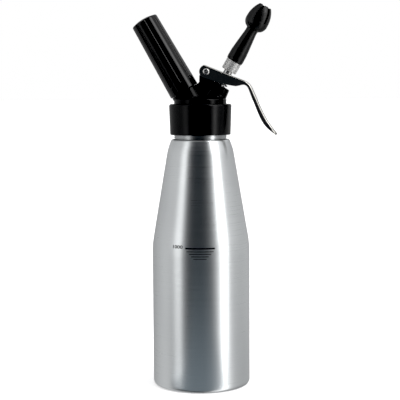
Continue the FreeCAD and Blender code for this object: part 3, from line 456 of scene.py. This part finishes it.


# ------------------------------------------------------------------ springs
def spring(name, node, axis, mean, wire, low, pitch, turns):
    """Round-wire coil along a leaning axis."""
    foot, d, _ = axis
    e2 = Vector((0, 1, 0))
    e1 = e2.cross(d)
    steps, sides = int(48 * turns), 14
    bm = bmesh.new()
    rings = []
    for i in range(steps + 1):
        a = 2 * math.pi * turns * i / steps
        out = e1 * math.cos(a) + e2 * math.sin(a)
        along = (e2 * math.cos(a) - e1 * math.sin(a)) * mean + d * (pitch / (2 * math.pi))
        along.normalize()
        side = along.cross(out)
        centre = foot + d * (low + pitch * turns * i / steps) + out * mean
        rings.append([bm.verts.new(centre + (out * math.cos(b) + side * math.sin(b)) * wire)
                      for b in (2 * math.pi * j / sides for j in range(sides))])
    for a, b in zip(rings[:-1], rings[1:]):
        for j in range(sides):
            bm.faces.new((a[j], a[(j + 1) % sides], b[(j + 1) % sides], b[j]))
    bm.faces.new(rings[0][::-1])
    bm.faces.new(rings[-1])
    o = finish_mesh(name, bm, MATERIALS[node], "head")
    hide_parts(node)
    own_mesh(o)
    return o


spring("valve_spring_coil", "valve_spring", NOZZLE, 0.0061, 0.0006, 0.03475, 0.00265, 5)
spring("check_spring_coil", "check_spring", CHARGER, 0.0019, 0.0002, 0.02925, 0.00101, 5)


# ------------------------------------------------------------------ floor
def floor_material():
    t = Tree("floor_pale")
    v = t.place()
    n = t.noise(v, 14.0, 3.0, 0.5)
    col = t.mix(t.remap(n, 0.3, 0.7, 0.0, 1.0), (0.86, 0.86, 0.86), (0.88, 0.88, 0.88))
    t.set(Base_Color=col, Roughness=0.7, Specular_IOR_Level=0.1, Emission_Color=(1.0, 1.0, 1.0), Emission_Strength=0.50)
    return t.mat


bm = bmesh.new()
side = 60.0
for x, y in ((-side, -side), (side, -side), (side, side), (-side, side)):
    bm.verts.new((x, y, -0.0001))
bm.faces.new(bm.verts)
fm = bpy.data.meshes.new("floor")
bm.to_mesh(fm)
bm.free()
fm.materials.append(floor_material())
floor = bpy.data.objects.new("floor", fm)
bpy.context.scene.collection.objects.link(floor)
floor.visible_glossy = False


def card(name, corners, color, strength):
    """A pale reflector card, seen only in reflections."""
    bm = bmesh.new()
    bm.faces.new([bm.verts.new(c) for c in corners])
    m = bpy.data.meshes.new(name)
    bm.to_mesh(m)
    bm.free()
    t = Tree(name + "_glow")
    v = t.place()
    n = t.noise(v, 6.0, 2.0, 0.5)
    t.set(Base_Color=(0.0, 0.0, 0.0), Roughness=1.0, Specular_IOR_Level=0.0, Emission_Color=t.mix(n, color, color), Emission_Strength=strength)
    m.materials.append(t.mat)
    o = bpy.data.objects.new(name, m)
    bpy.context.scene.collection.objects.link(o)
    o.visible_camera = o.visible_diffuse = o.visible_shadow = o.visible_transmission = False
    return o


card("table_card", ((-0.08, -0.34, -0.0004), (0.12, -0.34, -0.0004), (0.10, -0.052, -0.0004), (-0.08, -0.052, -0.0004)), (0.78, 0.92, 1.03), 0.27)

# ------------------------------------------------------------------ studio surround
# A soft studio: two tall soft boxes left and right of the camera, dim behind the camera, pale all round.
CAMERA_SIDE = math.radians(5.0)
HIGH = [(-180, 0.10), (-130, 0.30), (-110, 0.50), (-76, 0.55), (-69, 0.80), (-64, 1.15), (-52, 1.15), (-47, 0.62), (-42, 0.20), (-36, 0.06),
        (-28, 0.03), (-18, 0.02), (0, 0.02), (14, 0.025), (28, 0.05), (36, 0.10), (42, 0.9), (46, 4.2), (50, 5.0), (59, 5.0), (64, 4.2), (69, 1.7),
        (75, 1.15), (90, 1.05), (126, 0.9), (150, 0.75), (180, 0.10)]
UPPER = [(-180, 0.78), (-175, 0.66), (-169, 0.46), (-110, 0.60), (-90, 0.64), (-76, 0.66), (-69, 0.84), (-64, 1.20), (-52, 1.24), (-47, 0.70),
         (-42, 0.22), (-36, 0.07), (-28, 0.033), (-18, 0.021), (0, 0.020), (6, 0.029), (14, 0.065), (24, 0.18), (30, 0.28), (34, 0.36), (41, 0.42), (47, 0.65),
         (52, 2.2), (56, 4.3), (61, 4.2), (65, 1.70), (70, 0.79), (76, 0.61), (86, 0.57), (102, 0.50), (130, 0.44), (169, 0.42), (175, 0.74), (180, 0.78)]
LOWER = [(-180, 0.34), (-150, 0.39), (-120, 0.47), (-104, 0.54), (-90, 0.60), (-76, 0.68), (-68, 0.86), (-62, 1.38), (-52, 1.54), (-47, 0.92),
         (-42, 0.48), (-36, 0.27), (-28, 0.11), (-18, 0.04), (0, 0.032), (8, 0.038), (16, 0.062), (24, 0.14), (32, 0.275), (39, 0.43), (45, 0.68),
         (50, 2.0), (54, 4.3), (57, 4.4), (61, 2.1), (66, 0.96), (72, 0.63), (82, 0.59), (100, 0.57), (130, 0.57), (180, 0.40)]
LOWEST = [(-180, 0.36), (-140, 0.50), (-126, 0.60), (-110, 0.64), (-97, 0.62), (-84, 0.42), (-76, 0.10), (-62, 0.04), (-46, 0.04), (-36, 0.04), (-18, 0.03), (0, 0.03),
          (16, 0.05), (32, 0.22), (42, 0.8), (50, 1.6), (58, 1.8), (66, 1.2), (75, 0.8), (90, 0.40), (120, 0.30), (180, 0.36)]

world = bpy.data.worlds.new("studio")
bpy.context.scene.world = world
world.use_nodes = True
nt = world.node_tree
nt.nodes.clear()


def W(kind, **inputs):
    n = nt.nodes.new(kind)
    for k, v in inputs.items():
        n.inputs[int(k[1:])].default_value = v
    return n


def wmath(op, a, b=None, clamp=False):
    n = nt.nodes.new("ShaderNodeMath")
    n.operation = op
    n.use_clamp = clamp
    for i, v in enumerate((a, b)):
        if v is None:
            continue
        if hasattr(v, "is_linked"):
            nt.links.new(v, n.inputs[i])
        else:
            n.inputs[i].default_value = v
    return n.outputs[0]


coord = nt.nodes.new("ShaderNodeTexCoord")
turn = nt.nodes.new("ShaderNodeMapping")
turn.inputs["Rotation"].default_value = (0, 0, -CAMERA_SIDE)
nt.links.new(coord.outputs["Generated"], turn.inputs["Vector"])
sep = nt.nodes.new("ShaderNodeSeparateXYZ")
nt.links.new(turn.outputs["Vector"], sep.inputs[0])
azimuth = wmath("ARCTAN2", sep.outputs["X"], wmath("MULTIPLY", sep.outputs["Y"], -1.0))
place = wmath("ADD", wmath("DIVIDE", azimuth, 2 * math.pi), 0.5)
elevation = sep.outputs["Z"]


def ramp_curve(points, top):
    n = nt.nodes.new("ShaderNodeFloatCurve")
    c = n.mapping.curves[0]
    pts = [((a + 180) / 360, v / top) for a, v in points]
    while len(c.points) < len(pts):
        c.points.new(0.5, 0.5)
    for p, (x, y) in zip(c.points, pts):
        p.location = (x, y)
        p.handle_type = "VECTOR"
    n.mapping.use_clip = False
    n.mapping.update()
    nt.links.new(place, n.inputs["Value"])
    return wmath("MULTIPLY", n.outputs["Value"], top)


def wmix(fac, a, b):
    return wmath("ADD", wmath("MULTIPLY", a, wmath("SUBTRACT", 1.0, fac)), wmath("MULTIPLY", b, fac))


def wstep(value, lo, hi):
    n = nt.nodes.new("ShaderNodeMapRange")
    n.interpolation_type = "SMOOTHSTEP"
    n.inputs["From Min"].default_value = lo
    n.inputs["From Max"].default_value = hi
    nt.links.new(value, n.inputs["Value"])
    return n.outputs["Result"]


level = wmix(wstep(elevation, -0.28, -0.23), ramp_curve(LOWEST, 5.0), ramp_curve(LOWER, 5.0))
level = wmix(wstep(elevation, -0.08, 0.14), level, ramp_curve(UPPER, 5.0))
level = wmix(wstep(elevation, 0.30, 0.37), level, ramp_curve(HIGH, 5.0))
# the soft boxes and the dark room end below the ceiling, which is an even pale grey
level = wmix(wstep(elevation, 0.84, 0.97), level, wmath("ADD", 0.60, 0.0))
background = nt.nodes.new("ShaderNodeBackground")
tint = nt.nodes.new("ShaderNodeCombineColor")
for i, k in enumerate((-0.003, 0.0, 0.004)):
    nt.links.new(wmath("ADD", level, k), tint.inputs[i])
nt.links.new(tint.outputs[0], background.inputs["Color"])
seen = nt.nodes.new("ShaderNodeBackground")
seen.inputs["Color"].default_value = (1.0, 1.0, 1.0, 1.0)
path = nt.nodes.new("ShaderNodeLightPath")
mixer = nt.nodes.new("ShaderNodeMixShader")
nt.links.new(path.outputs["Is Camera Ray"], mixer.inputs["Fac"])
nt.links.new(background.outputs[0], mixer.inputs[1])
nt.links.new(seen.outputs[0], mixer.inputs[2])
wo = nt.nodes.new("ShaderNodeOutputWorld")
nt.links.new(mixer.outputs[0], wo.inputs["Surface"])

sun_data = bpy.data.lights.new("overhead_fill", "SUN")
sun_data.energy = 1.3
sun_data.angle = math.radians(50)
sun = bpy.data.objects.new("overhead_fill", sun_data)
sun.rotation_euler = (math.radians(12), math.radians(8), 0)
sun.visible_glossy = False
bpy.context.scene.collection.objects.link(sun)

bpy.context.scene.view_settings.view_transform = "Standard"
bpy.context.scene.view_settings.look = "None"
levels = bpy.context.scene.view_settings
levels.use_curve_mapping = True
levels.curve_mapping.black_level = (0.012, 0.012, 0.012)
levels.curve_mapping.update()

# ------------------------------------------------------------------ camera
cam_data = bpy.data.cameras.new("camera")
cam_data.sensor_width = 36.0
cam_data.lens = 36.0 * 1124.24 / 400.0
cam_data.clip_start, cam_data.clip_end = 0.05, 60.0
cam = bpy.data.objects.new("camera", cam_data)
bpy.context.scene.collection.objects.link(cam)
PITCH, ROLL, PHI = 0.0930, 0.0057, math.radians(5.0)
right = Vector((math.cos(PHI), math.sin(PHI), 0))
ahead = Vector((-math.sin(PHI), math.cos(PHI), 0))
look = ahead * math.cos(PITCH) + Vector((0, 0, -math.sin(PITCH)))
up = ahead * math.sin(PITCH) + Vector((0, 0, math.cos(PITCH)))
cr, sr = math.cos(ROLL), math.sin(ROLL)
r2 = right * cr + up * sr * -1.0
u2 = right * sr + up * cr
cam.matrix_world = Matrix((
    (r2.x, u2.x, -look.x, 0.09814),
    (r2.y, u2.y, -look.y, -1.13095),
    (r2.z, u2.z, -look.z, 0.29370),
    (0, 0, 0, 1),
))
bpy.context.scene.camera = cam
